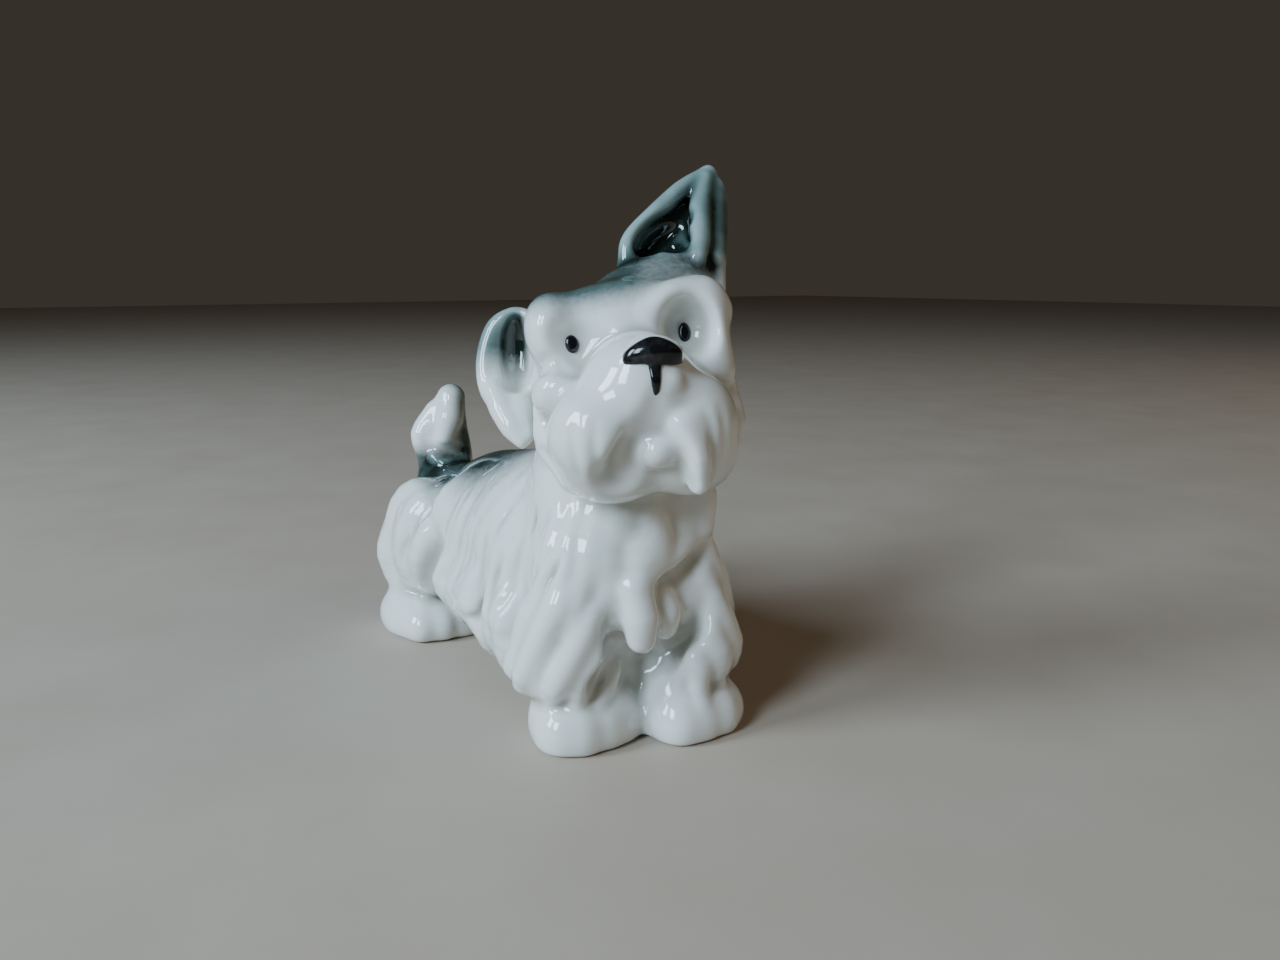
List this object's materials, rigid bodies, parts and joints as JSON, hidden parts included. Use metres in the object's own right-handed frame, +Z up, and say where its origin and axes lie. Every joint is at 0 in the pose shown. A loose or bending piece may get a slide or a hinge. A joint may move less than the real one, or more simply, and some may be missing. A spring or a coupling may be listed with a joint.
{
  "type": "porcelain dog figurine",
  "caption": "Small glazed porcelain figurine of a long-haired terrier that stands on its paws, one ear pricked and one folded, looking up to its right.",
  "frame": {"origin": "middle of the bounding box, on the plane that the four soles stand on", "axes": "+Z up, the dog faces -Y, its right side is at -X"},
  "size_m": [0.0314, 0.0791, 0.0706],
  "materials": {
    "white_glaze": "clear glossy glaze over white porcelain, with a sprayed grey-green underglaze that fades in on the crown, the folded ear, the spine and the tail",
    "green_glaze": "clear glossy glaze over a sprayed grey-green underglaze",
    "black_enamel": "glossy black overglaze enamel"
  },
  "bodies": {
    "root": {"torso": "white_glaze", "head": "white_glaze", "muzzle": "white_glaze", "ear_pricked": "green_glaze", "ear_folded": "white_glaze", "tail": "white_glaze", "foreleg_right": "white_glaze", "foreleg_left": "white_glaze", "hindleg_right": "white_glaze", "hindleg_left": "white_glaze", "eye_right": "black_enamel", "eye_left": "black_enamel", "nose": "black_enamel"}
  },
  "joints": []
}
